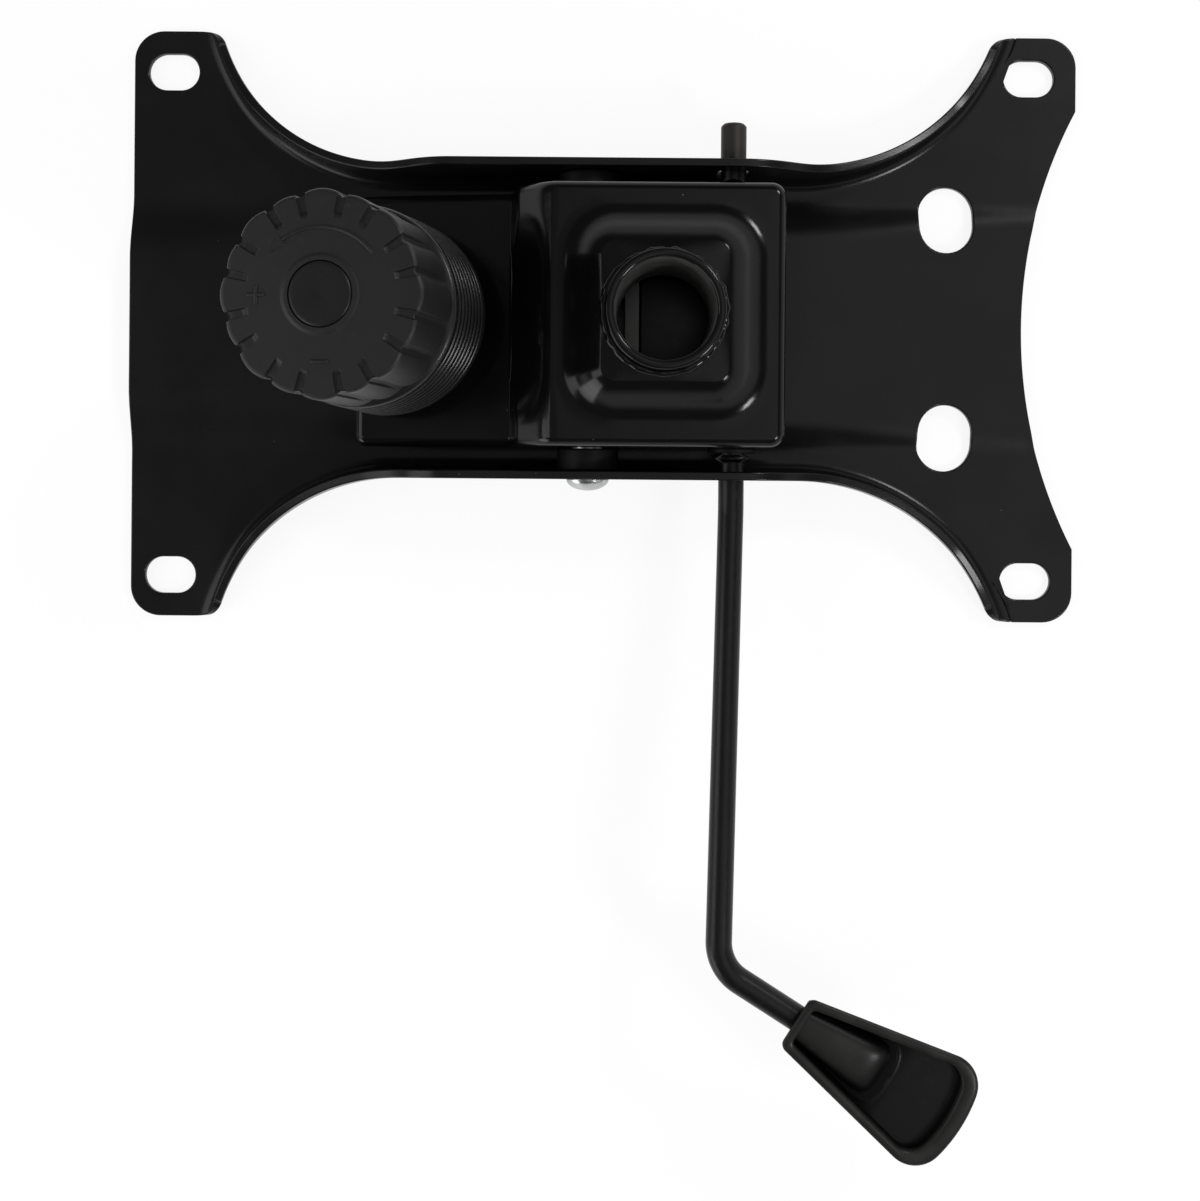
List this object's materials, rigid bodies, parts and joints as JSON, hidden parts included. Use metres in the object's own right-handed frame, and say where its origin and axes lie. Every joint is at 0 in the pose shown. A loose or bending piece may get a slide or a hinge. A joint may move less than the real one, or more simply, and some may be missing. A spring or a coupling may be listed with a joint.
{
  "type": "office chair tilt mechanism",
  "caption": "Stamped swivel-tilt plate for an office chair: hinged bracket with gas-lift taper socket, spring tension knob and a lever that works the lift valve.",
  "frame": {"origin": "middle of the four seat bolt slots, on the face that meets the seat", "axes": "+Z away from the seat (down in use), -X front of the chair, -Y the side the lever leaves on"},
  "size_m": [0.2853, 0.325, 0.0932],
  "materials": {
    "plate_paint": "satin",
    "bracket_paint": "gloss",
    "zinc": "satin",
    "rod_steel": "satin",
    "spring_steel": "satin",
    "knob_plastic": "matte",
    "bush_plastic": "matte",
    "pad_rubber": "matte"
  },
  "bodies": {
    "plate": {"seat_plate": "plate_paint", "pivot_pin": "zinc", "pivot_retainer": "zinc", "pivot_bush_left": "bush_plastic", "pivot_bush_right": "bush_plastic", "stop_pad_left": "pad_rubber", "stop_pad_right": "pad_rubber"},
    "bracket": {"tilt_bracket": "bracket_paint", "gas_lift_socket": "bracket_paint", "rod_bush_left": "knob_plastic", "rod_bush_right": "knob_plastic", "spring_cup": "zinc", "tension_spring": "spring_steel"},
    "bolt": {"tension_bolt": "zinc"},
    "carrier": {"thrust_washer": "zinc"},
    "knob": {"tension_knob": "knob_plastic", "knob_nut": "zinc", "knob_cap": "knob_plastic"},
    "lever": {"lever_rod": "rod_steel", "valve_tab": "rod_steel", "lever_handle": "knob_plastic"}
  },
  "joints": [
    {"name": "tilt", "type": "hinge", "parent": "plate", "child": "bracket", "pos_m": [-0.003, 0, 0.016], "axis": [0, 1, 0], "range_deg": [0, 10], "stiffness_Nm_per_rad": 60, "springref_deg": -8.59, "deforming": ["tension_spring"]},
    {"name": "bolt_rock", "type": "hinge", "parent": "plate", "child": "bolt", "pos_m": [-0.05608, 0, 0.00398], "axis": [0, 1, 0], "range_deg": [0, 6.6]},
    {"name": "knob_travel", "type": "slide", "parent": "bolt", "child": "carrier", "axis": [-0.1564, 0, 0.9877], "range_m": [0, 0.00751]},
    {"name": "knob_turn", "type": "hinge", "parent": "carrier", "child": "knob", "pos_m": [-0.0583, 0, 0.018], "axis": [-0.1564, 0, 0.9877], "range_deg": [0, 1800], "deforming": ["tension_spring"]},
    {"name": "lever_turn", "type": "hinge", "parent": "bracket", "child": "lever", "pos_m": [0.0391, 0, 0.02], "axis": [0, 1, 0], "range_deg": [0, 9]}
  ],
  "couplings": [
    {"joint": "bolt_rock", "follows": "tilt", "ratio": 0.65},
    {"joint": "knob_travel", "follows": "knob_turn", "m_per_rad": 0.00023873}
  ]
}
